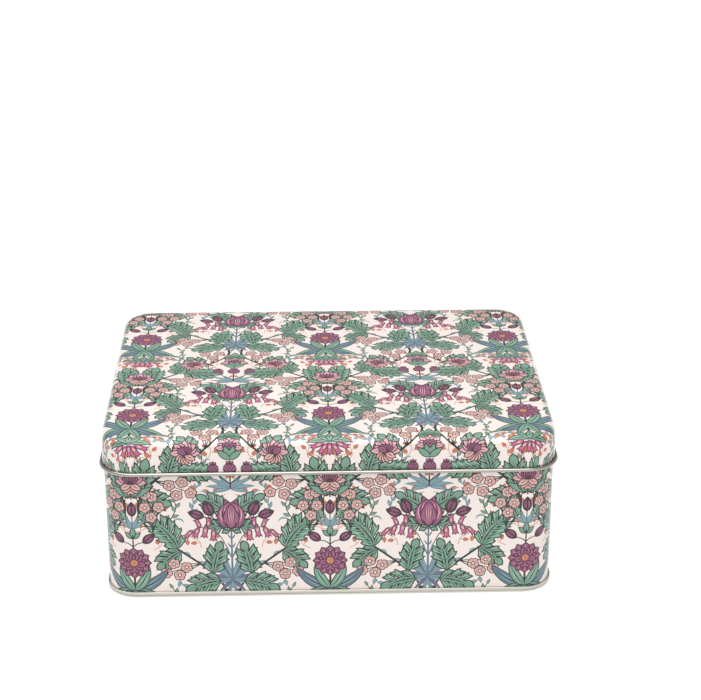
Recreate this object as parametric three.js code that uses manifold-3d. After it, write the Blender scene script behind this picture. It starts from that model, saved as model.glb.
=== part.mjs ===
// A rectangular tinplate box with rounded corners and a lift-off slip lid.
//
// Millimetres, +Z up. The origin is the centre of the footprint, on the surface the box stands on, and the
// front faces -Y. Three pressings make the box: a wall bent from one strip and locked along a seam at the
// back, a base double-seamed to the wall's foot, and a one-piece drawn lid that slips over the wall.
import * as THREE from "three";
import { mergeVertices } from "three/addons/utils/BufferGeometryUtils.js";
import Module from "manifold-3d";

// Driving dimensions.
const WIDTH = 250; // over the lid's rolled bead
const DEPTH = 194;
const HEIGHT = 95;
const SHEET = 0.25; // tinplate thickness
const LID_DROP = 20.6; // from the lid's top to the underside of its bead
const BEAD_RADIUS = 1.0; // rolled bead at the lid's lower edge
const SHOULDER_RADIUS = 5; // bend between the lid's top and its skirt
const LID_CORNER = 17.3; // plan radius of the skirt's outside
const SLIP_GAP = 0.45; // between skirt and wall, on each side
const REST_GAP = 0.15; // between the inside of the lid's shoulder and the wall's curl, where the lid rests
const CURL_RADIUS = 0.9; // inward curl along the wall's upper edge
const SEAM_HEIGHT = 3; // double seam at the foot
const SEAM_GAP = 0.1; // between the folded layers of that seam
const BODY_HOOK_TOP = 2.1;
const COVER_HOOK_END = 0.95;
const BASE_RECESS = 2.65; // height of the base panel's underside
const LOCK_SEAM_WIDTH = 5; // folded strip inside the wall, at the middle of the back
const LOCK_SEAM_LAYERS = 3;

const CORNER_STEPS = 8; // segments in each plan corner
const BEND_STEPS = 5; // segments in the shoulder
const ROLL_STEPS = 10; // segments round a rolled edge
const HOOK_STEPS = 4; // segments in the half turn of a seam hook

// Derived dimensions.
const BEAD_REACH = 2 * BEAD_RADIUS - SHEET; // how far the bead stands out from the skirt
const LID_WIDTH = WIDTH - 2 * BEAD_REACH;
const LID_DEPTH = DEPTH - 2 * BEAD_REACH;
const WALL_INSET = SHEET + SLIP_GAP; // from the skirt's outside to the wall's outside
const WALL_WIDTH = LID_WIDTH - 2 * WALL_INSET;
const WALL_DEPTH = LID_DEPTH - 2 * WALL_INSET;
const WALL_CORNER = LID_CORNER - WALL_INSET;
// The lid's shoulder rests on the wall's curl: both are arcs, this far apart from centre to centre.
const SEAT_DISTANCE = SHOULDER_RADIUS - SHEET - REST_GAP - CURL_RADIUS;
const SEAT_REACH = SHOULDER_RADIUS - WALL_INSET - CURL_RADIUS;
const WALL_TOP = HEIGHT - SHOULDER_RADIUS + Math.sqrt(SEAT_DISTANCE ** 2 - SEAT_REACH ** 2) + CURL_RADIUS;
const LAYER = SHEET + SEAM_GAP; // pitch of the folded layers

const radians = THREE.MathUtils.degToRad;

// Points [offset, height] on an arc. The offset is measured outwards from the wall or skirt.
function arc(offset, height, radius, fromDegrees, toDegrees, steps) {
  const points = [];
  for (let i = 0; i <= steps; i++) {
    const angle = radians(fromDegrees + ((toDegrees - fromDegrees) * i) / steps);
    points.push([offset + radius * Math.cos(angle), height + radius * Math.sin(angle)]);
  }
  return points;
}

// The rounded-rectangle outline of a given size, grown by an offset, counterclockwise at one height.
function outline(size, offset, height) {
  const points = [];
  const centreX = size.width / 2 - size.corner;
  const centreY = size.depth / 2 - size.corner;
  const signs = [[1, 1], [-1, 1], [-1, -1], [1, -1]];
  signs.forEach(([signX, signY], quarter) => {
    for (let i = 0; i <= CORNER_STEPS; i++) {
      const angle = (Math.PI / 2) * (quarter + i / CORNER_STEPS);
      const radius = size.corner + offset;
      points.push([
        signX * centreX + radius * Math.cos(angle),
        signY * centreY + radius * Math.sin(angle),
        height,
      ]);
    }
  });
  return points;
}

// Sheet metal that follows a profile round the rounded rectangle. An open profile starts on a flat panel's
// upper side and ends on its underside; a closed one goes down the outside and back up the inside.
function pressing(size, profile, closed) {
  const rings = profile.map(([offset, height]) => outline(size, offset, height));
  const around = rings[0].length;
  const positions = rings.flat(2);
  const faces = [];
  const lastRing = closed ? rings.length : rings.length - 1;
  for (let ring = 0; ring < lastRing; ring++) {
    const here = ring * around;
    const next = ((ring + 1) % rings.length) * around;
    for (let i = 0; i < around; i++) {
      const j = (i + 1) % around;
      faces.push(here + i, next + i, next + j);
      faces.push(here + i, next + j, here + j);
    }
  }
  if (!closed) {
    const end = (rings.length - 1) * around;
    const upper = positions.length / 3;
    positions.push(0, 0, profile[0][1], 0, 0, profile[profile.length - 1][1]);
    for (let i = 0; i < around; i++) {
      const j = (i + 1) % around;
      faces.push(upper, i, j);
      faces.push(upper + 1, end + j, end + i);
    }
  }
  const geometry = new THREE.BufferGeometry();
  geometry.setAttribute("position", new THREE.Float32BufferAttribute(positions, 3));
  geometry.setIndex(faces);
  geometry.computeVertexNormals();
  return geometry;
}

// A drawn lid: flat top, rounded shoulder, skirt, and a lower edge rolled outwards into a hollow bead.
function lidGeometry() {
  const beadOffset = BEAD_RADIUS - SHEET;
  const beadHeight = HEIGHT - LID_DROP + BEAD_RADIUS;
  const shoulder = (radius, from, to) =>
    arc(-SHOULDER_RADIUS, HEIGHT - SHOULDER_RADIUS, radius, from, to, BEND_STEPS);
  const profile = [
    ...shoulder(SHOULDER_RADIUS, 90, 0),
    ...arc(beadOffset, beadHeight, BEAD_RADIUS - SHEET, 180, 480, ROLL_STEPS),
    ...arc(beadOffset, beadHeight, BEAD_RADIUS, 480, 180, ROLL_STEPS),
    ...shoulder(SHOULDER_RADIUS - SHEET, 0, 90),
  ];
  return pressing({ width: LID_WIDTH, depth: LID_DEPTH, corner: LID_CORNER }, profile, false);
}

const wallSize = { width: WALL_WIDTH, depth: WALL_DEPTH, corner: WALL_CORNER };

// The wall: an inward curl along the top, and a hook turned outwards and up at the foot for the seam.
function wallShell() {
  const curlHeight = WALL_TOP - CURL_RADIUS;
  const hookMiddle = (LAYER + SEAM_GAP) / 2; // centre of the hook's half turn
  const hookHeight = LAYER + hookMiddle + SHEET;
  const profile = [
    ...arc(-CURL_RADIUS, curlHeight, CURL_RADIUS, 300, 0, ROLL_STEPS),
    ...arc(hookMiddle, hookHeight, hookMiddle, 180, 360, HOOK_STEPS),
    [2 * hookMiddle, BODY_HOOK_TOP],
    [2 * hookMiddle + SHEET, BODY_HOOK_TOP],
    ...arc(hookMiddle, hookHeight, hookMiddle + SHEET, 360, 180, HOOK_STEPS),
    ...arc(-CURL_RADIUS, curlHeight, CURL_RADIUS - SHEET, 0, 300, ROLL_STEPS),
  ];
  return pressing(wallSize, profile, true);
}

// The base: a panel recessed above the seam, whose edge folds round the wall's hook and back down behind it.
function baseGeometry() {
  const chuckWall = -SHEET - LAYER; // inner side of the upright that stands inside the wall
  const seamOutside = 3 * LAYER;
  const bend = SHEET; // outside radius of the seam's folds
  const profile = [
    [chuckWall, BASE_RECESS + SHEET],
    [chuckWall + SHEET, BASE_RECESS],
    [chuckWall + SHEET, SHEET],
    [seamOutside - SHEET, SHEET],
    [seamOutside - SHEET, SEAM_HEIGHT - SHEET],
    [LAYER, SEAM_HEIGHT - SHEET],
    [LAYER, COVER_HOOK_END],
    [SEAM_GAP, COVER_HOOK_END],
    ...arc(SEAM_GAP + bend, SEAM_HEIGHT - bend, bend, 180, 90, 2),
    ...arc(seamOutside - bend, SEAM_HEIGHT - bend, bend, 90, 0, 2),
    ...arc(seamOutside - bend, bend, bend, 0, -90, 2),
    ...arc(chuckWall + bend, bend, bend, -90, -180, 2),
    [chuckWall, BASE_RECESS],
  ];
  return pressing(wallSize, profile, false);
}

const wasm = await Module();
wasm.setup();

// A three.js geometry as a solid that can be joined to another, and back.
function toSolid(geometry) {
  const bare = geometry.clone();
  bare.deleteAttribute("normal");
  bare.deleteAttribute("uv");
  const merged = mergeVertices(bare);
  const mesh = new wasm.Mesh({
    numProp: 3,
    vertProperties: merged.getAttribute("position").array,
    triVerts: new Uint32Array(merged.getIndex().array),
  });
  return new wasm.Manifold(mesh);
}

function toGeometry(solid) {
  const mesh = solid.getMesh();
  const geometry = new THREE.BufferGeometry();
  geometry.setAttribute("position", new THREE.BufferAttribute(mesh.vertProperties, 3));
  geometry.setIndex(new THREE.BufferAttribute(mesh.triVerts, 1));
  geometry.computeVertexNormals();
  return geometry;
}

// The wall with its lock seam, where the strip's two ends fold into each other inside the back.
function wallGeometry() {
  const bite = SHEET / 2; // how far the seam's strip runs into the wall
  const thickness = LOCK_SEAM_LAYERS * SHEET + bite;
  const foot = SEAM_HEIGHT + 0.3;
  const head = WALL_TOP - 2 * CURL_RADIUS - 0.3;
  const strip = new THREE.BoxGeometry(LOCK_SEAM_WIDTH, thickness, head - foot);
  strip.translate(0, WALL_DEPTH / 2 - SHEET + bite - thickness / 2, (head + foot) / 2);
  return toGeometry(toSolid(wallShell()).add(toSolid(strip)));
}

const printedTinplate = new THREE.MeshStandardMaterial({
  color: new THREE.Color(0.93, 0.87, 0.81),
  roughness: 0.35,
  metalness: 0,
});
const bareTinplate = new THREE.MeshStandardMaterial({
  color: new THREE.Color(0.8, 0.77, 0.7),
  roughness: 0.35,
  metalness: 1,
});

function named(name, geometry, material) {
  const mesh = new THREE.Mesh(geometry, material);
  mesh.name = name;
  return mesh;
}

const tin = new THREE.Group();
tin.add(named("body_wall", wallGeometry(), printedTinplate));
tin.add(named("base_panel", baseGeometry(), bareTinplate));
tin.add(named("lid", lidGeometry(), printedTinplate));

export default tin;
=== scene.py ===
"""The looks of the printed tin: a lift-off lid, a wall bent from one strip, and a double-seamed base.

The print is drawn below as filled outlines, in millimetres, laid over each other as a litho press lays its
inks. They are cut into triangles once, for half a repeat, and copies of those cover each flat blank. Then the
blanks are bent, so that every ink is part of the tin's own surface.
"""
import math

import bmesh
import bpy
import numpy as np
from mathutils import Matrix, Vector
from mathutils.geometry import delaunay_2d_cdt


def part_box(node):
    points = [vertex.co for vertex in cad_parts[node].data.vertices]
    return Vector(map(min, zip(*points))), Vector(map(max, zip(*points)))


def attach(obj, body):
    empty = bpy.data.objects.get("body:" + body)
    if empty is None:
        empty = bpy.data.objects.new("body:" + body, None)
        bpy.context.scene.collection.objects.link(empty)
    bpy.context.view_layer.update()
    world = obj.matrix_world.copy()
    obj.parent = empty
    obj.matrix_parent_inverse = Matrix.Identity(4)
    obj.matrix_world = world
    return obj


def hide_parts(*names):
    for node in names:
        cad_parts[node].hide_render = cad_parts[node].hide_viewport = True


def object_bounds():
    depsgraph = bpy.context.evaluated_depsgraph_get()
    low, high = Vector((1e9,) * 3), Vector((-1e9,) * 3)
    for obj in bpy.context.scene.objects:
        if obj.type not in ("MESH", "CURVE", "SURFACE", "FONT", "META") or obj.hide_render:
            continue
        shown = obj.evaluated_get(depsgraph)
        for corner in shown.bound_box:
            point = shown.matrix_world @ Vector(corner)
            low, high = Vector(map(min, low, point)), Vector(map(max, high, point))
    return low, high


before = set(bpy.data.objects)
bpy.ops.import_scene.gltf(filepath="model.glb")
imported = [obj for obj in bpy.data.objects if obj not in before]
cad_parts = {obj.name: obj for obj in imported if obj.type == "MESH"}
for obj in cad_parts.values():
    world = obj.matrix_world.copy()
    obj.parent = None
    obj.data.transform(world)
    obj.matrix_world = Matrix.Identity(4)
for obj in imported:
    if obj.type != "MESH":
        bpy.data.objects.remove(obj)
cad_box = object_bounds()

MM = 0.001

# The tin's sizes in millimetres, as in the CAD model.
WIDTH, DEPTH, HEIGHT = ((high - low) / MM for low, high in zip(*cad_box))
LID_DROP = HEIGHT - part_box("lid")[0].z / MM
SHEET = 0.25
BEAD_RADIUS = 1.0
SHOULDER_RADIUS = 5.0
LID_CORNER = 17.3
SLIP_GAP = 0.45
CURL_RADIUS = 0.9
SEAM_HEIGHT = 3.0
SEAM_GAP = 0.1
BODY_HOOK_TOP = 2.1
COVER_HOOK_END = 0.95
BASE_RECESS = 2.65
LOCK_SEAM_WIDTH = 5.0
LOCK_SEAM_LAYERS = 3

BEAD_REACH = 2 * BEAD_RADIUS - SHEET
LID_WIDTH = WIDTH - 2 * BEAD_REACH
LID_DEPTH = DEPTH - 2 * BEAD_REACH
WALL_INSET = SHEET + SLIP_GAP
WALL_WIDTH = LID_WIDTH - 2 * WALL_INSET
WALL_DEPTH = LID_DEPTH - 2 * WALL_INSET
WALL_CORNER = LID_CORNER - WALL_INSET
WALL_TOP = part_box("body_wall")[1].z / MM
LAYER = SHEET + SEAM_GAP


# ---- drawing the print

REPEAT = 107.3          # width of the print's repeat, which is mirrored about its middle
HALF = REPEAT / 2
DROP = 109.0            # height of the repeat
LINE = 0.62             # width of the key line round a shape
THIN_LINE = LINE * 0.8
FINE_LINE = 0.32
MITRE = 2               # a key line reaches at most this many widths out at a sharp corner
UNFOLDED = 0.96         # a grown point nearer the shape than this share of the line has folded over
TINY = 1e-12

INKS = {
    "cream": (0.945, 0.90, 0.875), "key": (0.12, 0.15, 0.14), "leaf": (0.46, 0.615, 0.535),
    "leaf_light": (0.60, 0.735, 0.65), "slate": (0.37, 0.46, 0.52), "aqua": (0.50, 0.625, 0.65),
    "violet": (0.40, 0.40, 0.505), "plum": (0.30, 0.145, 0.21), "magenta": (0.605, 0.355, 0.49),
    "pink": (0.80, 0.39, 0.565), "blush": (0.87, 0.67, 0.70), "rose": (0.865, 0.69, 0.65),
    "rust": (0.76, 0.46, 0.335), "ochre": (0.80, 0.60, 0.44),
}

shapes = []             # (ink, outline) in printing order, the last on top


def unit(vectors):
    return vectors / np.maximum(np.linalg.norm(vectors, axis=-1, keepdims=True), TINY)


def heading_of(step):
    return math.degrees(math.atan2(step[1], step[0]))


def lay(local, at, heading, bend=0.0):
    """Moves an outline drawn along +x onto a curve that leaves `at` at `heading` and turns `bend` degrees
    a mm."""
    along, across = np.asarray(local, float).T
    start = math.radians(heading)
    turn = math.radians(bend)
    angle = start + turn * along
    if abs(turn) < TINY:
        x, y = along * math.cos(start), along * math.sin(start)
    else:
        x, y = (np.sin(angle) - math.sin(start)) / turn, (math.cos(start) - np.cos(angle)) / turn
    return np.column_stack([at[0] + x - across * np.sin(angle), at[1] + y + across * np.cos(angle)])


def spot(at, heading, distance, bend=0.0, across=0.0):
    return lay([(distance, across)], at, heading, bend)[0]


def lens(length, width, steps, lead=1.0, blunt=1.0):
    """A pointed oval along +x. lead < 1 moves its widest place to the start, blunt < 1 rounds its ends."""
    t = np.linspace(0, 1, steps + 1)[1:-1]
    half = width / 2 * np.sin(np.pi * t ** lead) ** blunt
    upper = np.column_stack([length * t, half])
    return np.vstack([[0, 0], upper * [1, -1], [length, 0], upper[::-1]])


def disc(radius, sides):
    turn = np.arange(sides) * 2 * math.pi / sides
    return radius * np.column_stack([np.cos(turn), np.sin(turn)])


def scalloped(radius, petals, depth, steps):
    """A round outline with `petals` bumps, notched by `depth` of its radius."""
    turn = np.arange(petals * steps) * 2 * math.pi / (petals * steps)
    reach = radius * (1 - depth + depth * np.abs(np.sin(turn * petals / 2)) ** 0.6)
    return np.column_stack([reach * np.cos(turn), reach * np.sin(turn)])


def grow(outline, margin):
    """The outline moved outwards by margin, without the points that fold over inside a notch."""
    outline = anticlockwise(outline)
    ahead = unit(np.roll(outline, -1, axis=0) - outline)
    behind = np.roll(ahead, 1, axis=0)
    tangent = unit(ahead + behind)
    reach = margin / np.maximum(np.sum(tangent * ahead, axis=1), 1 / MITRE)
    moved = outline + np.column_stack([tangent[:, 1], -tangent[:, 0]]) * reach[:, None]
    edge = np.roll(outline, -1, axis=0) - outline
    offset = moved[:, None] - outline[None]
    t = np.clip(np.sum(offset * edge, axis=2) / np.sum(edge * edge, axis=1), 0, 1)
    gap = np.linalg.norm(offset - t[..., None] * edge, axis=2).min(axis=1)
    return moved[gap > margin * UNFOLDED]


def anticlockwise(outline):
    after = np.roll(outline, -1, axis=0)
    area = np.sum(outline[:, 0] * after[:, 1] - outline[:, 1] * after[:, 0]) / 2
    return outline if area > 0 else outline[::-1]


def paint(ink, outline):
    shapes.append((ink, anticlockwise(np.asarray(outline, float))))


def keyed(ink, outline, line=LINE, key="key"):
    """A filled shape with a key line round it."""
    paint(key, grow(outline, line))
    paint(ink, outline)


def blade(ink, at, heading, oval, bend=0.0, line=LINE, key="key"):
    """A keyed pointed oval. `oval` holds what lens() takes."""
    keyed(ink, lay(lens(*oval), at, heading, bend), line, key)


def stroke(ink, at, heading, length, width, bend=0.0, steps=4, lead=1.0):
    paint(ink, lay(lens(length, width, steps, lead), at, heading, bend))


def smooth(points, steps):
    """A path through the given points (Catmull-Rom)."""
    p = np.asarray(points, float)
    p = np.vstack([2 * p[0] - p[1], p, 2 * p[-1] - p[-2]])
    t = np.linspace(0, 1, steps, endpoint=False)[:, None]
    parts = [
        0.5 * (2 * b + (c - a) * t + (2 * a - 5 * b + 4 * c - d) * t ** 2 + (3 * b - a - 3 * c + d) * t ** 3)
        for a, b, c, d in zip(p, p[1:], p[2:], p[3:])
    ]
    return np.vstack(parts + [p[-2:-1]])


def stem(ink, points, start_width, end_width, steps=5, thorns=0):
    """A band along a smooth path, as wide as given at its two ends, with thorns by turns on each side."""
    path = smooth(points, steps)
    tangent = unit(np.gradient(path, axis=0))
    normal = np.column_stack([-tangent[:, 1], tangent[:, 0]])
    half = np.linspace(start_width, end_width, len(path))[:, None] / 2
    for number in range(thorns):
        at = int((number + 0.7) * (len(path) - 1) / thorns)
        side = 1 if number % 2 else -1
        stroke(ink, path[at], heading_of(tangent[at]) + side * 35, 2.6, 1.1, bend=side * 6)
    paint(ink, np.vstack([path + normal * half, (path - normal * half)[::-1]]))


def leaf(at, heading, length, width, lobes, bend):
    """A lobed leaf: narrow toothed fingers swept towards the tip, on both sides of a curved midrib."""
    pitch = 0.72 / lobes
    tip = spot(at, heading, length * 0.7, bend)
    blades = [
        lay(lens(length * 0.94, width * 0.24, 8, 0.8), at, heading, bend),
        lay(lens(length * 0.31, width * 0.34, 6, 0.9, 0.7), tip, heading + bend * length * 0.7),
    ]
    fingers = []
    for number in range(lobes):
        share = 0.05 + number * pitch
        foot = spot(at, heading, length * share, bend)
        reach = width * 0.72 * math.sin(math.pi * (share + pitch * 0.7) ** 0.9) ** 0.5
        for hand in (-1, 1):
            way = heading + bend * length * share + hand * 60
            curl = -hand * 44 / reach
            fingers.append((foot, way, reach, curl, hand))
            blades.append(lay(lens(reach, length * pitch * 0.52, 7, 1.1, 0.75), foot, way, curl))
            branch = spot(foot, way, reach * 0.4, curl)
            tooth = lens(reach * 0.48, length * pitch * 0.34, 4, 1.1, 0.75)
            blades.append(lay(tooth, branch, way + curl * reach * 0.4 + hand * 32, curl))
    for outline in blades:
        paint("key", grow(outline, LINE))
    for outline in blades:
        paint("leaf", outline)
    for foot, way, reach, curl, hand in fingers:
        vein = spot(foot, way, reach * 0.22, curl, hand * 0.5)
        stroke("leaf_light", vein, way, reach * 0.62, 0.8, curl, 3)
        stroke("key", foot, way, reach * 0.7, 0.42, curl, 2)
    stroke("key", at, heading, length * 0.86, 0.8, bend, steps=5, lead=0.6)


def on_path(path, share):
    """The path's point after a share of its steps, and its heading there."""
    index = min(int(share * (len(path) - 1)), len(path) - 2)
    return path[index], heading_of(path[index + 1] - path[index])


def vine(points, leaflets, size, ink, key):
    """A thin stalk with keyed leaflets on both sides by turns, and one at its end."""
    path = smooth(points, 6)
    stem(key, points, 0.62, 0.42, 4)
    for number in range(leaflets + 1):
        foot, way = on_path(path, (number + 0.8) / (leaflets + 0.8))
        side = 0 if number == leaflets else (1 if number % 2 else -1)
        length = size * (1.0 - 0.25 * number / leaflets)
        blade(ink, foot, way + side * 48, (length, length * 0.42, 5, 0.8, 0.85), -side * 4, 0.3, key)


def petal(at, heading, length, width, fill, veins):
    """A keyed petal with fine lines that spread from its foot."""
    blade(fill, at, heading, (length, width, 6, 1.0, 0.7), 0.0, LINE * 0.9, "plum")
    for number in range(veins):
        lean = (number - (veins - 1) / 2) * 2 / veins
        start = spot(at, heading, length * 0.12, 0.0, lean * width * 0.12)
        stroke("plum", start, heading + lean * 16, length * 0.72, 0.55, -lean * 2.2, steps=2)


def striped(at, heading, length, width, bend=0.0, stripes=4, lead=0.8):
    """A keyed petal with pale and dark stripes from its foot to its tip."""
    blade("magenta", at, heading, (length, width, 7, lead, 0.72), bend, LINE, "plum")
    for number in range(stripes):
        lean = (number + 0.5) / stripes * 2 - 1
        foot = spot(at, heading, length * 0.14, bend, lean * width * 0.14)
        ink, thick = ("blush", 0.62) if number % 2 else ("plum", 0.6)
        stroke(ink, foot, heading + lean * 17, length * 0.72, thick, bend - lean * 34 / length, 4)


def tulip(at, heading, size):
    """A closed flower: three petals seen from the side, with two more tips behind."""
    for lean in (-14, 14):
        striped(spot(at, heading, size * 0.6), heading + lean, size * 1.25, size * 0.5, 0, 1)
    for hand in (-1, 1):
        foot = spot(at, heading, 0.2, across=hand * size * 0.1)
        striped(foot, heading + hand * 36, size * 1.8, size * 0.9, -hand * 50 / size, 4)
    striped(at, heading, size * 1.5, size * 0.86, 0, 7, 0.75)
    for hand in (-1, 1):
        stroke("key", spot(at, heading, -0.6), heading + hand * 70, size * 0.62, 0.9, -hand * 14)


def bud(at, heading, length, width):
    blade("plum", at, heading, (length, width, 10, 0.85, 0.75), 0.0, THIN_LINE)
    for number in range(3):
        for hand in (-1, 1):
            foot = spot(at, heading, length * (0.14 + 0.2 * number), 0.0, hand * 0.25)
            stroke("magenta", foot, heading + hand * 34, length * (0.46 - 0.09 * number), 0.75, -hand * 5, 3)


def bell(at, heading, length):
    """A narrow bell with a flared, notched mouth and a pale eye."""
    width = length * 0.42
    side = np.array([(0.0, 0.35), (0.18, 0.85), (0.5, 0.80), (0.78, 0.72), (1.0, 1.25), (0.9, 0.45)])
    side = side * [length, width / 2]
    outline = np.vstack([side * [1, -1], [[length * 1.04, 0]], side[::-1]])
    keyed("pink", lay(outline, at, heading), THIN_LINE, "plum")
    eye = (length * 0.45, width * 0.62, 5, 0.9, 0.7)
    blade("blush", spot(at, heading, length * 0.14), heading, eye, 0.0, 0.22, "plum")


def rosette(at, radius, turn):
    """A five-petalled posy flower seen from above."""
    keyed("rose", lay(scalloped(radius, 5, 0.2, 4), at, turn), THIN_LINE, "plum")
    for number in range(5):
        for between, start, ink in ((0, 0.28, "plum"), (36, 0.44, "magenta")):
            way = turn + 72 * number + between
            stroke(ink, spot(at, way, radius * start), way, radius * (0.78 - start), 0.42, steps=2)
    paint("key", lay(disc(radius * 0.38, 7), at, 0))
    paint("cream", lay(disc(radius * 0.24, 5), at, 0))


def seed(at, heading, size=3.7):
    paint("rust", lay(lens(size, size * 0.66, 6, 0.72, 0.75), at, heading))


def sprig(points, seeds):
    """A hair-thin stalk with seeds at (distance share, side, heading change)."""
    path = smooth(points, 5)
    stem("rust", points, 0.38, 0.38 * 0.7, 4)
    for share, side, lean in seeds:
        foot, way = on_path(path, share)
        way += side * lean
        stroke("rust", foot, way, 2.4, 0.45, steps=2)
        seed(spot(foot, way, 1.7), way)


def thistle(at, size):
    """A round head of overlapping scales with a tuft on top."""
    for lean in (-34, 0, 34):
        tuft = (size * 0.95, size * 0.5, 6)
        blade("magenta", (at[0], at[1] + size * 0.55), 90 + lean, tuft, 0.0, LINE * 0.5, "plum")
    keyed("plum", lay(disc(size, 12), at, 0), LINE * 0.5)
    for row, count in enumerate((3, 4, 3, 2)):
        for number in range(count):
            foot = (at[0] + (number - (count - 1) / 2) * size * 0.5, at[1] + (0.12 - 0.36 * row) * size)
            blade("magenta", foot, 90, (size * 0.66, size * 0.46, 4, 1.1, 0.7), 0.0, 0.28, "plum")


def daisy(at, size):
    """An open many-petalled flower seen from the side: outer petals, drooping ones, then the heart."""
    for number in range(9):
        lean = -72 + number * 18
        length = size * (0.72 if number % 2 else 0.86)
        petal((at[0], at[1] - 1), 90 + lean * 1.25, length, size * 0.36, "blush", 1)
    for number in range(6):
        petal((at[0], at[1] - 2), -150 + number * 24, size * 0.62, size * 0.32, "rose", 1)
    for number in range(5):
        petal((at[0], at[1] - 1.6), 42 + number * 24, size * 0.52, size * 0.3, "magenta", 1)


A, B = 0.0, HALF        # the two axes the print is mirrored about; x is measured from A
STEM_CLEARANCE = 3.4    # between the trellis stem and an axis, where it comes nearest


def trellis(y):
    """A point on the main stem, which swings between the axes once a repeat, and the stem's heading."""
    swing = HALF / 2 - STEM_CLEARANCE
    turn = 2 * math.pi * y / DROP
    x = HALF / 2 + swing * math.cos(turn)
    slope = -swing * 2 * math.pi / DROP * math.sin(turn)
    return (x, y), heading_of((slope, 1))


def trellis_stem():
    heights = np.linspace(-5, DROP + 5, 17)     # the stem runs on past both ends of the repeat
    stem("key", [trellis(y)[0] for y in heights], 1.2, 1.2, 4, thorns=9)


def trellis_leaves():
    """Leaves by the side of the main stem: (height, side, lean, length, width, lobes, bend)."""
    for y, side, lean, length, width, lobes, bend in (
        (9, 1, 58, 20, 13, 3, 1.6), (14, -1, 52, 20, 12.5, 3, 0.6),
        (28, 1, 66, 17, 11.5, 3, 1.4), (29, -1, 34, 26, 14, 4, -1.6),
        (46, -1, 62, 15, 10.5, 3, -2.6),
        (61, -1, 70, 17, 11.5, 3, 1.2), (63, 1, 34, 24, 13.5, 4, -0.8),
        (80, -1, 58, 23, 13.5, 4, -1.4), (77, 1, 44, 20, 12, 3, -1.2),
        (87, 1, 62, 17, 11.5, 3, 2.2), (100, -1, 48, 16, 11, 3, -1.6),
    ):
        foot, way = trellis(y)
        leaf(foot, way + side * lean, length, width, lobes, side * bend)


def blade_tuft():
    """Blue blades that fan upwards and outwards from axis B."""
    heart = (B, 11)
    for number, (heading, length, bend) in enumerate((
        (262, 9, -1.2), (236, 11, -1.2), (205, 15, -1.6), (183, 18, -1.4), (165, 20, 1.8), (150, 19, -0.9),
        (136, 22, 1.3), (121, 20, -0.7), (107, 23, 0.5),
    )):
        ink = "violet" if number % 3 == 1 else "aqua"
        blade(ink, heart, heading, (length, 2.1, 7, 0.72, 0.9), bend, FINE_LINE, "slate")
        stroke("slate", spot(heart, heading, 1, bend), heading + bend, length * 0.75, 0.42, bend, steps=5)
    stem("slate", [(B, 11), (B, 24), (B, 42)], 1.2, 0.9, 3)


def main_flower():
    """A tall tulip on axis B with two buds, between arching sprays of bells."""
    leaf((B - 1, 50), 134, 21, 11.5, 3, 1.2)
    leaf((B - 0.5, 44), 196, 13.5, 9, 2, -2.2)
    stem("slate", [(B - 0.4, 24), (B - 5.5, 36), (B - 13.5, 42.5), (B - 22, 40.5)], 0.8, 0.5, 4)
    for x, y, heading, size in (
        (21.4, 40.4, 226, 5.2), (18, 42, 250, 5.6), (13.8, 42.6, 260, 6), (9.6, 40.8, 266, 6.2),
        (17, 42.6, 112, 5), (12.4, 43, 88, 5.4),
    ):
        bell((B - x, y), heading, size)
    for y in (29.5, 35):
        stroke("slate", (B, y), 132, 4.2, 0.9, -6)
    stem("key", [(B, 40), (B - 5, 42), (B - 10.8, 50)], 0.7, 0.6, 4)
    bud((B - 10.6, 49.6), 112, 9.4, 5.6)
    stem("key", [(B, 41), (B - 6, 46), (B - 15.6, 49)], 0.7, 0.6, 4)
    bud((B - 15, 49), 160, 8.4, 4.8)
    tulip((B, 42), 90, 9.4)


def upper_sprays():
    """Thistles over the tulip, where the two stems close in again, and a daisy above them."""
    for heading, length in ((186, 10), (164, 13), (142, 13), (120, 10)):
        blade("aqua", (B, 66), heading, (length, 2.2, 8, 0.75, 0.9), 1.6, FINE_LINE, "slate")
    stem("key", [(B, 66), (B, 77)], 0.8, 0.8, 2)
    stem("key", [(B - 0.3, 69), (B - 5, 72.5), (B - 8.4, 78)], 0.7, 0.6, 3)
    thistle((B, 80.5), 3.4)
    thistle((B - 9, 80.5), 2.9)
    daisy((B, 94), 8.6)
    for lean in (24, 58):
        blade("leaf", (B, 86.5), 90 + lean, (8, 3.2, 7, 0.8, 0.85), -2, THIN_LINE)


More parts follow.
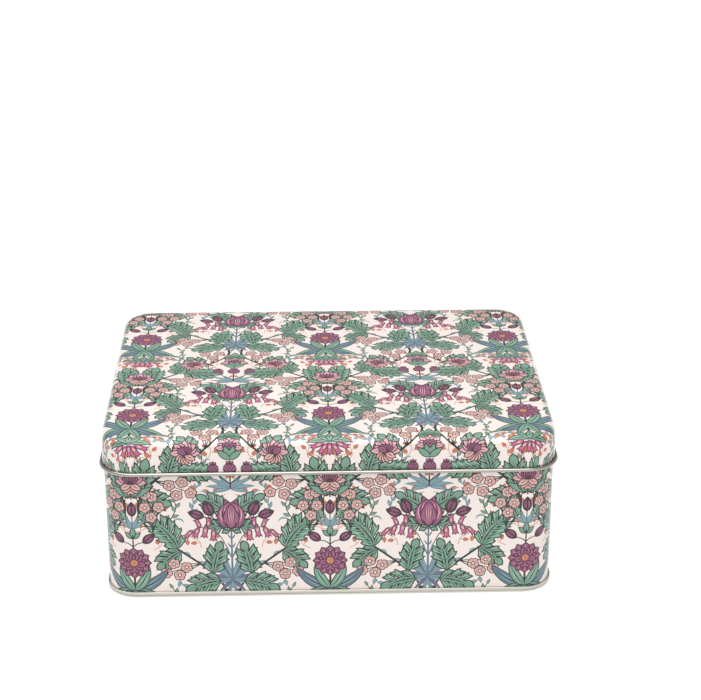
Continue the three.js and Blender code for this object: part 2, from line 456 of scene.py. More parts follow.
def sunburst():
    """A round many-petalled flower on axis A, over broad leaves, with buds above it."""
    heart, foot = (A, 21), (A, 4)
    stem("key", [(A, -10), (A, 4), (A, 16)], 1.3, 1.1, 3)
    for heading, length, width, bend, ink, pale in (
        (12, 23, 5.6, 2, "slate", "aqua"), (-16, 21, 5.6, -1.2, "leaf", "leaf_light"),
        (-42, 17, 5.2, 1.4, "slate", "aqua"), (-70, 13, 4.2, 1.4, "leaf", "leaf_light"),
        (42, 17, 5, 2.2, "leaf", "leaf_light"),
    ):
        blade(ink, foot, heading, (length, width, 7, 0.8, 0.8), bend, THIN_LINE)
        for across in (-0.9, 0.9):
            start = spot(foot, heading, 2.5, bend, across)
            stroke(pale, start, heading + 2.5 * bend, length * 0.62, 0.7, bend, steps=4)
        stroke("key", foot, heading, length * 0.85, 0.45, bend, steps=4)
    for reach, width, turn, stripes in ((9, 4.4, 0, 3), (6.2, 3, 0.5, 1)):
        for number in range(12):
            striped(heart, 30 * (number + turn), reach, width, 0, stripes, 1.5)
    keyed("rust", lay(disc(2.1, 12), heart, 0), LINE * 0.7, "plum")
    for number in range(7):
        paint("ochre", lay(disc(0.42, 6), spot(heart, number * 360 / 7, 1.3), 0))
    stem("key", [(A, 30), (A, 37)], 0.8, 0.7, 2)
    for lean, length in ((-52, 5), (0, 7), (52, 5)):
        blade("leaf", (A, 36.5), 90 + lean, (length, 2.6, 6, 0.8), 0, THIN_LINE)
    stem("key", [(A, 31), (2.5, 33), (6.4, 34)], 0.6, 0.5, 3)
    bud((5.6, 33.6), 40, 7.8, 4.4)


def blossoms():
    """Small rosettes in bunches on short stalks from the main stem: (height, side, places)."""
    for y, side, places in (
        (20, 1, ((8, 54), (13.5, 70), (14.5, 38), (19.5, 55))),
        (40, -1, ((9, 40), (15.5, 58), (15.5, 30), (21.5, 45))),
        (71, -1, ((8, 62), (14.5, 80), (14.5, 46), (20.5, 64))),
        (93, 1, ((8, 50), (14, 68), (14.5, 34))),
        (56, 1, ((8, 16), (8, -24))),
    ):
        foot, way = trellis(y)
        for reach, lean in places:
            place = spot(foot, way + side * lean, reach)
            stem("key", [foot, (np.asarray(foot) + place) / 2 + [0.5, 0], place], 0.6, 0.45, 3)
        for reach, lean in places:
            rosette(spot(foot, way + side * lean, reach), 3, reach * 20)


def daisies():
    """A bud and daisies up axis A, with bells hung under the topmost, and one daisy beside the main stem."""
    for heading, length in ((26, 8), (58, 6.5)):
        blade("aqua", (A, 42.5), heading, (length, 2, 6, 0.75, 0.9), 2, FINE_LINE, "slate")
    stem("slate", [(A, 42), (A, 51)], 0.7, 0.6, 2)
    bud((A, 50), 90, 8, 4.4)
    for heading, length in ((16, 12), (40, 9)):
        blade("leaf", (A, 62), heading, (length, 3.6, 8, 0.8, 0.85), 1.5, THIN_LINE)
    stem("key", [(A, 60), (A, 68)], 0.8, 0.8, 2)
    daisy((A, 71), 10)
    root = (A, 97)
    for heading, length, bend in ((14, 12, -3), (46, 9, -3), (90, 7, 0)):
        blade("leaf", root, heading, (length, 3.2, 8, 0.8, 0.85), bend, THIN_LINE)
        stroke("key", root, heading, length * 0.8, 0.4, bend)
    for heading, reach in ((-90, 2), (-56, 3), (-24, 4.2)):
        stroke("slate", root, heading, reach + 0.5, 0.6, steps=3)
        bell(spot(root, heading, reach), heading, 6.4)
    daisy((30, 91), 9.2)


def fillers():
    """Thin vines, sprigs, seeds and tendrils in the gaps between the larger motifs."""
    for points, leaflets, size, ink, key in (
        ([(16, 43.5), (21, 48), (24, 55), (22, 62)], 6, 4, "leaf", "key"),
        ([(31, 50.5), (33.5, 56), (33, 63), (37, 68.5)], 6, 3.8, "aqua", "slate"),
        ([(25, 78), (32, 78.5), (38, 83.5), (39, 90)], 6, 3.8, "leaf", "key"),
        ([(22, 95), (19, 99), (14, 100), (10, 104)], 6, 3.8, "aqua", "slate"),
        ([(1.5, 78), (4.5, 83), (4, 88)], 3, 3.6, "leaf", "key"),
        ([(1, 44), (3.4, 47), (7, 49.5)], 3, 3.6, "leaf", "key"),
        ([(24, 11), (27, 6), (33, 2), (38, 2)], 5, 3.6, "aqua", "slate"),
        ([(24, 98), (21, 103), (23, 109), (20, 115)], 5, 3.8, "leaf", "key"),
    ):
        vine(points, leaflets, size, ink, key)
    three = ((0.4, 1, 60), (0.7, -1, 60), (0.98, 1, 5))
    four = ((0.28, 1, 60), (0.5, -1, 60), (0.75, 1, 55), (0.98, -1, 5))
    for points, seeds in (
        ([(12.5, 46), (14, 52), (15.5, 57), (13.5, 63)], four),
        ([(25, 60), (28.5, 66.5), (32.5, 70)], three),
        ([(B - 2.5, 62.5), (B - 6.5, 61), (B - 11, 63.5)], three),
        ([(B - 13, 84.5), (B - 10, 90), (B - 10.5, 97)], four),
        ([(9, 84), (12, 88), (11, 94), (15, 98)], four),
        ([(37, 30), (36, 34), (30, 37), (27, 34)], four),
        ([(11, 29), (15, 31.5), (17, 38), (14, 41)], four),
        ([(1, 102), (6, 104), (12, 102)], three),
        ([(1, 40.5), (5, 41), (9, 45), (6, 49)], four),
        ([(B - 3.5, 27), (B - 9, 30.5), (B - 8, 35)], three),
        ([(1.2, 82), (4, 87), (8, 88)], three),
    ):
        sprig(points, seeds)
    for x, y, heading in (
        (B - 2.6, 102, 100), (B - 7, 103.5, 70), (B - 2.2, 72, 60), (2.4, 55, 80),
    ):
        seed((x, y), heading, 3.2)
    for x, y, heading, bend in (
        (28, 45, 90, 20), (40, 60, 40, 22), (17.5, 69, 60, -18), (44, 86, 150, 18),
        (4, 98, 40, -20), (30.5, 23, 60, 20),
    ):
        stroke("aqua", (x, y), heading, 8, 1.2, bend, steps=6)


def print_design():
    fillers()
    trellis_stem()
    blade_tuft()
    trellis_leaves()
    blossoms()
    main_flower()
    upper_sprays()
    sunburst()
    daisies()


# ---- the print as triangles

MERGE = 1e-4            # two points closer than this, in mm, are one
OVERLAY_MERGE = 1e-5    # the same, while the outlines are laid over each other
SMOOTHED = 9            # a point where an outline turns less than this, in degrees, is left out
HALVINGS = 44           # steps that close in on where a cut crosses an edge


def simplified(mesh):
    """Frees the mesh, and gives its triangles and their inks. They are fewer than before: neighbours of one
    ink are joined and cut anew, but not over a seam. The rim stays as it is."""
    mesh.normal_update()
    bmesh.ops.dissolve_limit(
        mesh, angle_limit=math.radians(SMOOTHED), use_dissolve_boundaries=False,
        verts=[vert for vert in mesh.verts if not vert.is_boundary],
        edges=[edge for edge in mesh.edges if not edge.is_boundary],
        delimit={"MATERIAL", "SEAM"},
    )
    bmesh.ops.triangulate(mesh, faces=mesh.faces[:])
    triangles = np.array([[v.co.xy[:] for v in f.verts] for f in mesh.faces])
    inks = np.array([f.material_index for f in mesh.faces])
    mesh.free()
    return triangles, inks


def half_repeat():
    """The print from one mirror axis to the next: triangles (n, 3, 2), and the number of each one's ink."""
    points = [Vector(corner) for corner in ((0, 0), (HALF, 0), (HALF, DROP), (0, DROP))]
    faces = [[0, 1, 2, 3]]
    names = list(INKS)
    ink_of = [names.index("cream")]
    for ink, outline in shapes:
        for shift in (-DROP, 0, DROP):
            moved = outline + [0, shift]
            if moved[:, 1].max() < 0 or moved[:, 1].min() > DROP:
                continue
            faces.append(list(range(len(points), len(points) + len(moved))))
            points += [Vector(p) for p in moved]
            ink_of.append(names.index(ink))
    flat, _, triangles, _, _, sources = delaunay_2d_cdt(points, [], faces, 1, OVERLAY_MERGE, True)
    mesh = bmesh.new()
    verts = [mesh.verts.new((p[0], p[1], 0)) for p in flat]
    for triangle, source in zip(triangles, sources):
        if 0 in source:
            mesh.faces.new([verts[i] for i in triangle]).material_index = ink_of[max(source)]
    bmesh.ops.delete(mesh, geom=[v for v in mesh.verts if not v.link_faces], context="VERTS")
    triangles, inks = simplified(mesh)
    x, y = triangles[..., 0], triangles[..., 1]
    for values, edge in ((x, 0), (x, HALF), (y, 0), (y, DROP)):
        values[np.abs(values - edge) < MERGE] = edge
    foot, head = x[y == 0], y == DROP
    x[head] = foot[np.abs(x[head][:, None] - foot).argmin(axis=1)]  # so that it fits the next copy's foot
    return triangles, inks


def cover(tile, low, high, shift):
    """Copies of the half repeat over the box low..high of a blank. The print's origin goes to `shift`."""
    half, ink = tile
    mirrored = (half * [-1, 1])[:, ::-1]
    triangles, inks = [], []
    columns = range(math.floor((low[0] - shift[0]) / HALF), math.ceil((high[0] - shift[0]) / HALF))
    rows = range(math.floor((low[1] - shift[1]) / DROP), math.ceil((high[1] - shift[1]) / DROP))
    for column in columns:
        for row in rows:
            part = half + [column * HALF, 0] if column % 2 == 0 else mirrored + [(column + 1) * HALF, 0]
            part = part + [shift[0], shift[1] + row * DROP]
            near = (part.max(axis=1) > low).all(axis=1) & (part.min(axis=1) < high).all(axis=1)
            triangles.append(part[near])
            inks.append(ink[near])
    return np.concatenate(triangles), np.concatenate(inks)


def cut(triangles, inks, field, level=0.0):
    """Splits the triangles that cross field == level there, so that each lies on one side of it."""
    value = field(triangles) - level
    value[np.abs(value) < MERGE / 10] = 0
    crossing = (value.min(axis=1) < 0) & (value.max(axis=1) > 0)
    if not crossing.any():
        return triangles, inks
    parts, low = triangles[crossing], value[crossing] < 0
    lone = np.where(low.sum(axis=1) == 1, low.argmax(axis=1), (~low).argmax(axis=1))
    order = (lone[:, None] + np.arange(3)) % 3
    row = np.arange(len(parts))[:, None]
    parts, low = parts[row, order], low[row, order]

    def between(other):
        """The crossing on the edge from corner 0 to another, sought from the low end so neighbours agree."""
        start = np.where(low[:, :1], parts[:, 0], parts[:, other])
        stop = np.where(low[:, :1], parts[:, other], parts[:, 0])
        near, far = np.zeros(len(parts)), np.ones(len(parts))
        for _ in range(HALVINGS):
            middle = (near + far) / 2
            below = field(start + (stop - start) * middle[:, None]) < level
            near, far = np.where(below, middle, near), np.where(below, far, middle)
        return start + (stop - start) * far[:, None]

    p, q = between(1), between(2)
    a, b, c = parts.transpose(1, 0, 2)
    pieces = [np.stack(corners, axis=1) for corners in ((a, p, q), (p, b, c), (p, c, q))]
    return (np.concatenate([triangles[~crossing], *pieces]),
            np.concatenate([inks[~crossing], *[inks[crossing]] * 3]))


def keep(triangles, inks, field, level, above=False):
    """Cuts at field == level and drops what lies beyond it (or below it, with above)."""
    triangles, inks = cut(triangles, inks, field, level)
    value = field(triangles) - level
    wanted = value.min(axis=1) > -MERGE if above else value.max(axis=1) < MERGE
    return triangles[wanted], inks[wanted]


def welded(triangles):
    """The triangles' shared points, and each triangle as three numbers of points."""
    flat = triangles.reshape(-1, 2)
    places = np.round(flat / MERGE).astype(np.int64)
    _, first, index = np.unique(places, axis=0, return_index=True, return_inverse=True)
    index = index.reshape(-1, 3)
    whole = (index != np.roll(index, 1, axis=1)).all(axis=1)
    return flat[first], index[whole], whole


def uncut(triangles, inks, bends):
    """Takes out the triangles that a blank can be bent without. bends() says which bend lines each point
    lies on."""
    flat, index, whole = welded(triangles)
    mesh = bmesh.new()
    verts = [mesh.verts.new((x, y, 0)) for x, y in flat.tolist()]
    mesh.verts.index_update()
    for corners, ink in zip(index.tolist(), inks[whole].tolist()):
        mesh.faces.new([verts[i] for i in corners]).material_index = ink
    start, stop = np.array([[v.index for v in edge.verts] for edge in mesh.edges]).T
    on_line = bends(flat)
    for edge, is_bend in zip(mesh.edges, (on_line[start] & on_line[stop]).any(axis=1).tolist()):
        edge.seam = is_bend
    return simplified(mesh)


def rim(index):
    """The points along the free edge of triangles given as numbers of points, in order, anticlockwise."""
    ahead = np.stack([index, np.roll(index, -1, axis=1)], axis=2).reshape(-1, 2)
    count = index.max() + 1
    free = ahead[~np.isin(ahead @ [count, 1], ahead @ [1, count])]
    follow = dict(free.tolist())
    loop = [free[0, 0]]
    while follow[loop[-1]] != loop[0]:
        loop.append(follow[loop[-1]])
    return np.array(loop)


# ---- bent sheet

CORNER_STEPS = 10       # facets round each corner of the plan outline
FLAT_STEPS = 6          # and along each side
SHARP = 50              # two faces that meet at more than this, in degrees, have an edge between them


class Track:
    """The plan outline of a pressing: a rounded rectangle, as functions of the length u along it. It starts
    at the middle of the back and runs by -X, the front and +X."""

    def __init__(self, width, depth, corner):
        self.corner = corner
        self.core = np.array([width / 2 - corner, depth / 2 - corner])
        a, b = self.core
        bend = corner * math.pi / 2
        self.breaks = np.cumsum([0, a, bend, 2 * b, bend, 2 * a, bend, 2 * b, bend, a])
        self.length = self.breaks[-1]
        self.core_x = [0, -a, -a, -a, -a, a, a, a, a, 0]
        self.core_y = [b, b, b, -b, -b, -b, -b, b, b, b]
        self.normal = np.radians([90, 90, 180, 180, 270, 270, 360, 360, 450, 450])
        steps = [FLAT_STEPS, CORNER_STEPS] * 4 + [FLAT_STEPS]
        self.stations = np.concatenate(
            [np.linspace(u, v, n, endpoint=False) for u, v, n in zip(self.breaks, self.breaks[1:], steps)])

    def outward(self, u):
        angle = np.interp(u, self.breaks, self.normal)
        return np.column_stack([np.cos(angle), np.sin(angle)])

    def at(self, u, offset, height):
        """Points at u, moved outwards by offset, at a height."""
        core = np.column_stack([np.interp(u, self.breaks, row) for row in (self.core_x, self.core_y)])
        plan = core + self.outward(u) * np.reshape(self.corner + offset, (-1, 1))
        return np.column_stack([plan, np.broadcast_to(height, len(plan))])


class Skin:
    """A mesh as it is put together: points, their normals (zero where Blender finds them), faces and inks."""

    def __init__(self):
        self.points, self.normals, self.faces, self.inks = [], [], [], []

    def add(self, points, normals=None):
        first = len(self.points)
        self.points += [tuple(p) for p in points]
        self.normals += [tuple(n) for n in (normals if normals is not None else np.zeros((len(points), 3)))]
        return np.arange(first, len(self.points))

    def face(self, corners, ink):
        self.faces.append(tuple(int(c) for c in corners))
        self.inks.append(ink)

    def bridge(self, upper, lower, ink):
        """Faces between two rings with the same number of points."""
        for i in range(len(upper)):
            j = (i + 1) % len(upper)
            self.face((upper[i], lower[i], lower[j], upper[j]), ink)

    def zip(self, upper, lower, upper_at, lower_at, ink, closed=True):
        """Triangles between two rows of points, whose places along the row are given and rise."""
        i = j = 0
        ends = len(upper) - (not closed), len(lower) - (not closed)
        upper_at, lower_at = (np.append(np.maximum.accumulate(at), math.inf) for at in (upper_at, lower_at))
        while i < ends[0] or j < ends[1]:
            a, b = upper[i % len(upper)], lower[j % len(lower)]
            if j >= ends[1] or (i < ends[0] and upper_at[i + 1] <= lower_at[j + 1]):
                i += 1
                self.face((a, b, upper[i % len(upper)]), ink)
            else:
                j += 1
                self.face((a, b, lower[j % len(lower)]), ink)

    def round(self, ring):
        """The ring from its first point by -X from the middle of the back, and each point's angle from it."""
        points = np.array([self.points[i] for i in ring])
        angle = (np.arctan2(points[:, 1], points[:, 0]) - math.pi / 2 + MERGE) % (2 * math.pi)
        start = angle.argmin()
        return np.roll(ring, -start), np.roll(angle, -start)

    def zip_round(self, upper, lower, ink):
        """Triangles between two closed rings of different numbers of points."""
        upper, upper_at = self.round(upper)
        lower, lower_at = self.round(lower)
        self.zip(upper, lower, upper_at, lower_at, ink)

    def printed(self, triangles, inks, shape):
        """Adds a printed blank. shape() bends its points and gives their normals. Returns the places on the
        blank of the points along its rim, and their numbers."""
        flat, index, whole = welded(triangles)
        numbers = self.add(*shape(flat))
        self.faces += [tuple(f) for f in numbers[index].tolist()]
        self.inks += inks[whole].tolist()
        loop = rim(index)
        return flat[loop], numbers[loop]

    def rings(self, track, profile):
        """One ring of points for each (offset, height) of a profile."""
        return [self.add(track.at(track.stations, offset, height)) for offset, height in profile]

    def made(self, name, materials):
        """The finished object."""
        mesh = bpy.data.meshes.new(name)
        mesh.from_pydata([tuple(c * MM for c in p) for p in self.points], [], self.faces)
        for material in materials:
            mesh.materials.append(material)
        mesh.polygons.foreach_set("material_index", self.inks)
        mesh.polygons.foreach_set("use_smooth", [True] * len(self.faces))
        mesh.set_sharp_from_angle(angle=math.radians(SHARP))
        mesh.normals_split_custom_set_from_vertices(self.normals)
        return placed(name, mesh)


def placed(name, data):
    """A new object in the scene."""
    thing = bpy.data.objects.new(name, data)
    bpy.context.scene.collection.objects.link(thing)
    return thing


def arc(offset, height, radius, start, stop, steps):
    """A profile's points round part of a circle, from one angle in degrees to another."""
    turn = np.radians(np.linspace(start, stop, steps + 1))
    return [(offset + radius * math.cos(t), height + radius * math.sin(t)) for t in turn]


# ---- materials

NOISE_LOW, NOISE_HIGH = 0.3, 0.7    # most values of a noise lie between these
VARNISH_PATCHES = 260               # scales of the noises, in cells a metre
VARNISH_PEEL = 420
TIN_PATCHES = 90
LINES_ALONG_X = (40, 900, 900)
LINES_ALONG_Z = (900, 900, 40)
VARNISH_RELIEF = 4e-6               # heights in metres
MILL_RELIEF = 6e-6
VARNISH_ROUGHNESS = 0.30, 0.44
TIN_ROUGHNESS = 0.24, 0.40


def linear(colour):
    """The linear values of an sRGB colour."""
    return [c / 12.92 if c <= 0.04045 else ((c + 0.055) / 1.055) ** 2.4 for c in colour]


def dial(node, values):
    """Sets constants on a node's own sockets."""
    for socket, value in values.items():
        node.inputs[socket].default_value = value


def look(name, values):
    """A new material, its node tree and its shader, with these constants on the shader."""
    material = bpy.data.materials.new(name)
    material.use_nodes = True
    tree = material.node_tree
    shader = tree.nodes["Principled BSDF"]
    dial(shader, values)
    return material, tree, shader


def noise(tree, where, scale, detail):
    texture = tree.nodes.new("ShaderNodeTexNoise")
    dial(texture, {"Scale": scale, "Detail": detail})
    tree.links.new(where, texture.inputs["Vector"])
    return texture.outputs["Fac"]


def roughen(tree, shader, value, low, high):
    """Spreads a noise between two roughnesses."""
    spread = tree.nodes.new("ShaderNodeMapRange")
    dial(spread, {"From Min": NOISE_LOW, "From Max": NOISE_HIGH, "To Min": low, "To Max": high})
    tree.links.new(value, spread.inputs["Value"])
    tree.links.new(spread.outputs["Result"], shader.inputs["Roughness"])


def emboss(tree, shader, height, distance):
    """Gives the shader the relief of a noise."""
    bump = tree.nodes.new("ShaderNodeBump")
    dial(bump, {"Strength": 1.0, "Distance": distance})
    tree.links.new(height, bump.inputs["Height"])
    tree.links.new(bump.outputs["Normal"], shader.inputs["Normal"])


def ink_material(name, colour):
    """Litho ink under a clear varnish, which lies a little uneven, like fine orange peel."""
    material, tree, shader = look("ink_" + name, {
        "Base Color": (*colour, 1), "IOR": 1.45, "Specular IOR Level": 0.35,
        "Coat Weight": 0.55, "Coat Roughness": 0.08,
    })
    where = tree.nodes.new("ShaderNodeTexCoord").outputs["Object"]
    roughen(tree, shader, noise(tree, where, VARNISH_PATCHES, 3), *VARNISH_ROUGHNESS)
    emboss(tree, shader, noise(tree, where, VARNISH_PEEL, 1), VARNISH_RELIEF)
    return material


def tin_material(name, colour, scale):
    """Bare tinplate: satin metal with the faint lines of the rolling mill and cloudy patches of tin."""
    material, tree, shader = look(name, {"Base Color": (*colour, 1), "Metallic": 1.0})
    where = tree.nodes.new("ShaderNodeTexCoord").outputs["Object"]
    stretch = tree.nodes.new("ShaderNodeMapping")
    dial(stretch, {"Scale": scale})
    tree.links.new(where, stretch.inputs["Vector"])
    lines = noise(tree, stretch.outputs["Vector"], 1.0, 3)
    roughen(tree, shader, noise(tree, where, TIN_PATCHES, 3), *TIN_ROUGHNESS)
    emboss(tree, shader, lines, MILL_RELIEF)
    return material


# ---- the lid

PRINT_STRETCH = 1.18    # how much of the print the lid's shoulder takes up, for each mm of it
LID_PRINT_FOOT = 76.25  # where the print ends above the bead
LID_PRINT_SHIFT = -192.0    # from the top's middle to the foot of a repeat
BEAD_NECK = 0.5         # a ring of the bare skirt is this far over the bead's middle
SHOULDER_STEPS = 6
ROLLED = 300            # how far the bead and the curl are rolled, in degrees
ROLL_STEPS = 20


def make_lid(tile, materials):
    track = Track(LID_WIDTH, LID_DEPTH, LID_CORNER)
    core = track.core
    flat_reach = LID_CORNER - SHOULDER_RADIUS
    bend = PRINT_STRETCH * SHOULDER_RADIUS * math.pi / 2
    reach = flat_reach + bend + HEIGHT - SHOULDER_RADIUS - LID_PRINT_FOOT

    def past_core(points):
        return np.maximum(np.abs(points) - core, 0)

    def from_core(points):
        return np.hypot(*np.moveaxis(past_core(points), -1, 0))

    def shape(points):
        middle = np.clip(points, -core, core)
        distance = from_core(points)[:, None]
        away = (points - middle) / np.maximum(distance, MERGE)
        past = np.maximum(distance - flat_reach, 0)
        turn = np.minimum(past / bend, 1) * math.pi / 2
        radius = np.minimum(distance, flat_reach) + SHOULDER_RADIUS * np.sin(turn)
        height = HEIGHT - SHOULDER_RADIUS * (1 - np.cos(turn)) - np.maximum(past - bend, 0)
        return np.hstack([middle + away * radius, height]), np.hstack([away * np.sin(turn), np.cos(turn)])

    angles = np.radians(np.linspace(0, 90, CORNER_STEPS + 1)[1:-1])
    spokes = np.column_stack([np.sin(angles), -np.cos(angles)])
    levels = flat_reach + bend * np.linspace(0, 1, SHOULDER_STEPS + 1)

    def bends(points):
        past, distance = past_core(points), from_core(points)[:, None]
        off = np.hstack([
            np.abs(np.abs(points) - core),
            np.abs(distance - levels),
            np.where(past.min(axis=1)[:, None] > 0, np.abs(past @ spokes.T), 1),
        ])
        return (off < 2 * MERGE) & (distance > flat_reach - 2 * MERGE)

    corner = core + reach
    printed = cover(tile, -corner, corner, (0, LID_PRINT_SHIFT))
    printed = keep(*printed, from_core, reach + 1)      # roughly, so that the next cuts are quick
    for axis in (0, 1):
        printed = cut(*printed, lambda p: np.abs(p[..., axis]) - core[axis])
    for across in spokes:
        printed = cut(*printed, lambda p: past_core(p) @ across)
    for level in levels:
        printed = cut(*printed, from_core, level)
    printed = uncut(*keep(*printed, from_core, reach), bends)

    skin = Skin()
    _, edge = skin.printed(*printed, shape)
    bead = (BEAD_RADIUS - SHEET, HEIGHT - LID_DROP + BEAD_RADIUS)
    profile = [
        (0, bead[1] + BEAD_NECK),
        *arc(*bead, BEAD_RADIUS - SHEET, 180, 180 + ROLLED, ROLL_STEPS),
        *arc(*bead, BEAD_RADIUS, 180 + ROLLED, 180, ROLL_STEPS),
        *arc(-SHOULDER_RADIUS, HEIGHT - SHOULDER_RADIUS, SHOULDER_RADIUS - SHEET, 0, 90, SHOULDER_STEPS),
    ]
    rings = skin.rings(track, profile)
    skin.zip_round(edge, rings[0], BARE)
    inner = len(rings) - SHOULDER_STEPS - 1     # the first ring of the shoulder's inside
    for number, (upper, lower) in enumerate(zip(rings, rings[1:])):
        skin.bridge(upper, lower, INSIDE if number >= inner - 1 else BARE)
    skin.face(rings[-1][::-1], INSIDE)
    return skin.made("lid_shell", materials)


# ---- the wall

WALL_PRINT_FOOT = 2.6   # the print runs on down to here, inside the double seam
WALL_PRINT_HEAD = 80.0  # and up to here, under the lid
SIDE_MARGIN = 2.2       # unprinted metal on each side of the lock seam
GROOVE_WIDTH = 0.5      # the line where the strip's two ends meet
GROOVE_DEPTH = 0.18
LOCK_SEAM_GAP = 0.3     # from its ends to the curl and to the double seam
HOOK_STEPS = 6


def make_wall(tile, materials):
    track = Track(WALL_WIDTH, WALL_DEPTH, WALL_CORNER)
    length = track.length
    low, high = np.array([(GROOVE_WIDTH / 2, WALL_PRINT_FOOT), (length - GROOVE_WIDTH / 2, WALL_PRINT_HEAD)])
    cream = list(INKS).index("cream")

    def along(points):
        return points[..., 0]

    def up(points):
        return points[..., 1]

    def shape(points):
        outward = track.outward(along(points))
        return track.at(along(points), 0, up(points)), np.column_stack([outward, np.zeros(len(points))])

    printed = cover(tile, low, high, (length / 2, 0))
    for bound, above in ((low, True), (high, False)):
        for field, level in zip((along, up), bound):
            printed = keep(*printed, field, level, above)
    corners = zip(track.breaks[1::2], track.breaks[2::2])
    levels = np.concatenate([np.linspace(first, last, CORNER_STEPS + 1) for first, last in corners])
    for level in (*levels, SIDE_MARGIN, length - SIDE_MARGIN):
        printed = cut(*printed, along, level)
    triangles, inks = printed
    middle = along(triangles.mean(axis=1))
    inks[(middle < SIDE_MARGIN) | (middle > length - SIDE_MARGIN)] = BARE
    triangles, inks = uncut(triangles, inks, lambda points: np.abs(points[:, :1] - levels) < 2 * MERGE)

    skin = Skin()
    places, numbers = skin.printed(triangles, inks, shape)
    start, *stops = [np.linalg.norm(places - corner, axis=1).argmin()
                     for corner in (low, (high[0], low[1]), high, (low[0], high[1]))]
    stops = [0, *[(stop - start) % len(numbers) for stop in stops], len(numbers)]
    numbers, places = ([*np.roll(row, -start, axis=0), row[start]] for row in (numbers, places))
    foot, last, head, first = (numbers[a:b + 1] for a, b in zip(stops, stops[1:]))
    _, last_up, _, first_up = (up(np.array(places[a:b + 1])) for a, b in zip(stops, stops[1:]))
    groove_up = np.array([low[1], high[1]])
    groove = skin.add(track.at([0.0, 0.0], -GROOVE_DEPTH, groove_up))
    skin.zip(last, groove, last_up, groove_up, BARE, closed=False)
    skin.zip(groove, first[::-1], groove_up, first_up[::-1], BARE, closed=False)
    foot_ring = [*foot, groove[0]]
    head_ring = [*head[::-1], groove[1]]

    hook = (LAYER + SEAM_GAP) / 2
    hook_height = LAYER + hook + SHEET
    curl = (-CURL_RADIUS, WALL_TOP - CURL_RADIUS)
    profile = [
        *arc(hook, hook_height, hook, 180, 360, HOOK_STEPS),
        (2 * hook, BODY_HOOK_TOP),
        (2 * hook + SHEET, BODY_HOOK_TOP),
        *arc(hook, hook_height, hook + SHEET, 360, 180, HOOK_STEPS),
        *arc(*curl, CURL_RADIUS - SHEET, 0, ROLLED, ROLL_STEPS),
        *arc(*curl, CURL_RADIUS, ROLLED, 0, ROLL_STEPS),
    ]
    rings = skin.rings(track, profile)
    skin.zip_round(foot_ring, rings[0], cream)
    inner = 2 * HOOK_STEPS + 3      # the last ring of the hook, where the inside of the wall begins
    for number, (upper, lower) in enumerate(zip(rings, rings[1:])):
        skin.bridge(upper, lower, INSIDE if number == inner else BARE)
    skin.zip_round(rings[-1], head_ring, cream)
    lock_seam(skin)
    return skin.made("wall_shell", materials)


def lock_seam(skin):
    """The folded strip inside the back, where the wall's two ends hook into each other."""
    thickness = LOCK_SEAM_LAYERS * SHEET
    fold = thickness / 2
    half = LOCK_SEAM_WIDTH / 2 - fold
    face = WALL_DEPTH / 2 - SHEET - fold
    turns = np.radians(np.linspace(-90, 90, HOOK_STEPS + 1))
    side = np.column_stack([half + fold * np.cos(turns), face + fold * np.sin(turns)])
    plan = np.vstack([side, (side * [-1, 1])[::-1]])
    ends = [
        skin.add(np.column_stack([plan, np.full(len(plan), height)]))
        for height in (WALL_TOP - 2 * CURL_RADIUS - LOCK_SEAM_GAP, SEAM_HEIGHT + LOCK_SEAM_GAP)
    ]
    skin.bridge(*ends, INSIDE)
    skin.face(ends[0], INSIDE)
    skin.face(ends[1][::-1], INSIDE)


# ---- the base

SEAM_LINE = 1.55        # height of the fine groove that the seaming roll leaves round the double seam
SEAM_LINE_DEPTH = 0.12
SEAM_LINE_MOUTH = 0.22  # half its width outside
SEAM_LINE_FLOOR = 0.1   # and at its floor
FOLD_STEPS = 6


def make_base(materials):
    track = Track(WALL_WIDTH, WALL_DEPTH, WALL_CORNER)
    inside = -SHEET - LAYER
    outside = 3 * LAYER
    profile = [
        (inside, BASE_RECESS + SHEET),
        (inside + SHEET, BASE_RECESS),
        (inside + SHEET, SHEET),
        (outside - SHEET, SHEET),
        (outside - SHEET, SEAM_HEIGHT - SHEET),
        (LAYER, SEAM_HEIGHT - SHEET),
        (LAYER, COVER_HOOK_END),
        (SEAM_GAP, COVER_HOOK_END),
        *arc(SEAM_GAP + SHEET, SEAM_HEIGHT - SHEET, SHEET, 180, 90, FOLD_STEPS),
        *arc(outside - SHEET, SEAM_HEIGHT - SHEET, SHEET, 90, 0, FOLD_STEPS),
        (outside, SEAM_LINE + SEAM_LINE_MOUTH),
        (outside - SEAM_LINE_DEPTH, SEAM_LINE + SEAM_LINE_FLOOR),
        (outside - SEAM_LINE_DEPTH, SEAM_LINE - SEAM_LINE_FLOOR),
        (outside, SEAM_LINE - SEAM_LINE_MOUTH),
        *arc(outside - SHEET, SHEET, SHEET, 0, -90, FOLD_STEPS),
        *arc(inside + SHEET, SHEET, SHEET, -90, -180, FOLD_STEPS),
        (inside, BASE_RECESS),
    ]
    skin = Skin()
    rings = skin.rings(track, profile)
    for upper, lower in zip(rings, rings[1:]):
        skin.bridge(upper, lower, 0)
    skin.face(rings[0], 0)
    skin.face(rings[-1][::-1], 0)
    return skin.made("base_shell", materials)


# ---- the pieces

inks = [ink_material(name, linear(colour)) for name, colour in INKS.items()]
rolled_tin = tin_material("rolled_tinplate", (0.63, 0.605, 0.55), LINES_ALONG_X)
# The bead is the same tinplate as rolled_tin; its darker colour is painted shade, standing in for the dimmer
# reflection on the rolled bead
bead_painted_shade_tin = tin_material("bead_painted_shade_tinplate", (0.46, 0.44, 0.40), LINES_ALONG_X)
inside_tin = tin_material("inside_tinplate", (0.80, 0.785, 0.75), LINES_ALONG_Z)
BARE, INSIDE = len(inks), len(inks) + 1     # the materials' numbers on the lid and the wall
print_design()
tile = half_repeat()

lid = make_lid(tile, [*inks, bead_painted_shade_tin, inside_tin])
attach(lid, "lid")
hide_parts("lid")

wall = make_wall(tile, [*inks, rolled_tin, inside_tin])
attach(wall, "box")
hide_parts("body_wall")

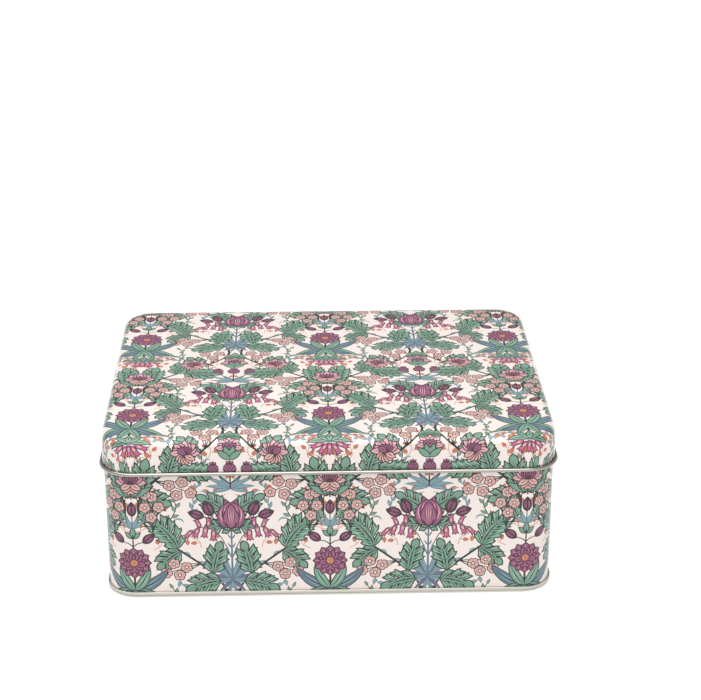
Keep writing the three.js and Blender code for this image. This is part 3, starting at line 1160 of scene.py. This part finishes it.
base = make_base([rolled_tin])
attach(base, "box")
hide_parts("base_panel")


# ---- floor, light and camera

FLOOR_HALF = 20.0
FLOOR_GAP = 0.0002          # from the floor to the tin's foot
LIT = Vector((0, 0, 0.05))  # what the lamps point at
PITCH, YAW = math.radians(22.64), math.radians(1.72)
DISTANCE = 1.08612
AIM_RIGHT, AIM_UP = 0.01396, 0.05459    # from the tin's middle to the middle of the picture
LENS, SENSOR = 94.44, 36.0


def softbox(name, place, size, power):
    lamp = bpy.data.lights.new(name, "AREA")
    lamp.shape = "RECTANGLE"
    lamp.size, lamp.size_y = size
    lamp.energy = power
    lamp_object = placed(name, lamp)
    lamp_object.location = place
    lamp_object.rotation_euler = (LIT - Vector(place)).to_track_quat("-Z", "Y").to_euler()


floor_mesh = bpy.data.meshes.new("floor")
corners = np.array([(-1, -1, 0), (1, -1, 0), (1, 1, 0), (-1, 1, 0)]) * FLOOR_HALF
floor_mesh.from_pydata(corners.tolist(), [], [(0, 1, 2, 3)])
floor = placed("floor", floor_mesh)
floor.location.z = -FLOOR_GAP
paper, _, _ = look("paper", {
    "Base Color": (0.12, 0.12, 0.12, 1), "Roughness": 0.9, "Specular IOR Level": 0.1,
    "Emission Color": (1, 1, 1, 1), "Emission Strength": 0.95,
})
floor.data.materials.append(paper)

world = bpy.data.worlds.new("studio")
world.use_nodes = True
dial(world.node_tree.nodes["Background"], {"Color": (1.0, 0.99, 0.98, 1), "Strength": 0.38})
bpy.context.scene.world = world
softbox("overhead", place=(-0.25, -0.25, 1.5), size=(1.6, 1.2), power=21.5)
softbox("front", place=(0.2, -1.5, 1.2), size=(1.6, 1.0), power=8)

forward = Vector((math.sin(YAW) * math.cos(PITCH), math.cos(YAW) * math.cos(PITCH), -math.sin(PITCH)))
right = Vector((math.cos(YAW), -math.sin(YAW), 0))
upward = right.cross(forward)
camera_data = bpy.data.cameras.new("camera")
camera_data.sensor_fit = "HORIZONTAL"
camera_data.sensor_width = SENSOR
camera_data.lens = LENS
camera = placed("camera", camera_data)
camera.location = Vector((0, 0, HEIGHT / 2 * MM)) - forward * DISTANCE + right * AIM_RIGHT + upward * AIM_UP
camera.rotation_euler = forward.to_track_quat("-Z", "Y").to_euler()
bpy.context.scene.camera = camera
bpy.context.scene.view_settings.view_transform = "Standard"
